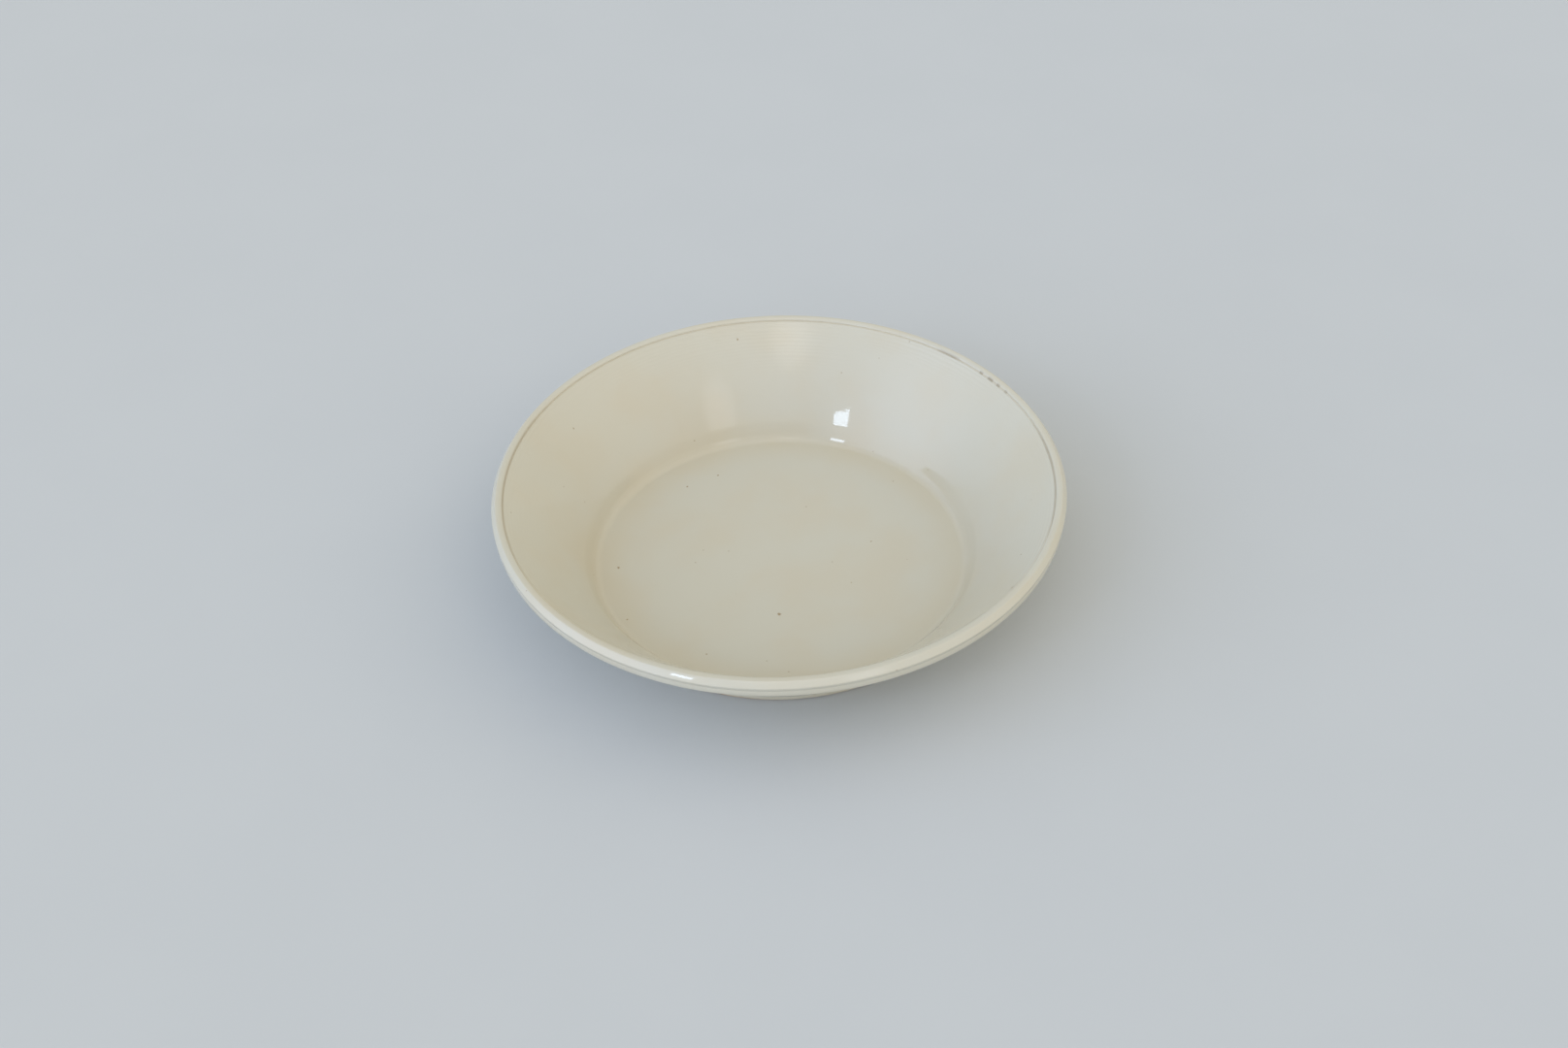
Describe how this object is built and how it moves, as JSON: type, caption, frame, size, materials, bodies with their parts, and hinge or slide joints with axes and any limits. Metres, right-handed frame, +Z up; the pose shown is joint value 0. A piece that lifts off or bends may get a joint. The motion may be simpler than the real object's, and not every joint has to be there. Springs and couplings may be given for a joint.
{
  "type": "deep plate",
  "caption": "Round deep plate of cream-glazed stoneware: flat floor with a tight corner, wall that flares out to a narrow rolled lip, low foot ring to stand on.",
  "frame": {"origin": "on the axis of the plate, at the surface that it stands on", "axes": "+Z up along the axis, out of the open well; X and Y are alike because the plate is round"},
  "size_m": [0.1994, 0.1994, 0.04],
  "materials": {
    "clay": "matte bare fired stoneware",
    "glaze": "glossy cream glaze"
  },
  "bodies": {
    "root": {"clay_body": "clay", "inside_glaze": "glaze", "outside_glaze": "glaze", "base_glaze": "glaze"}
  },
  "joints": []
}
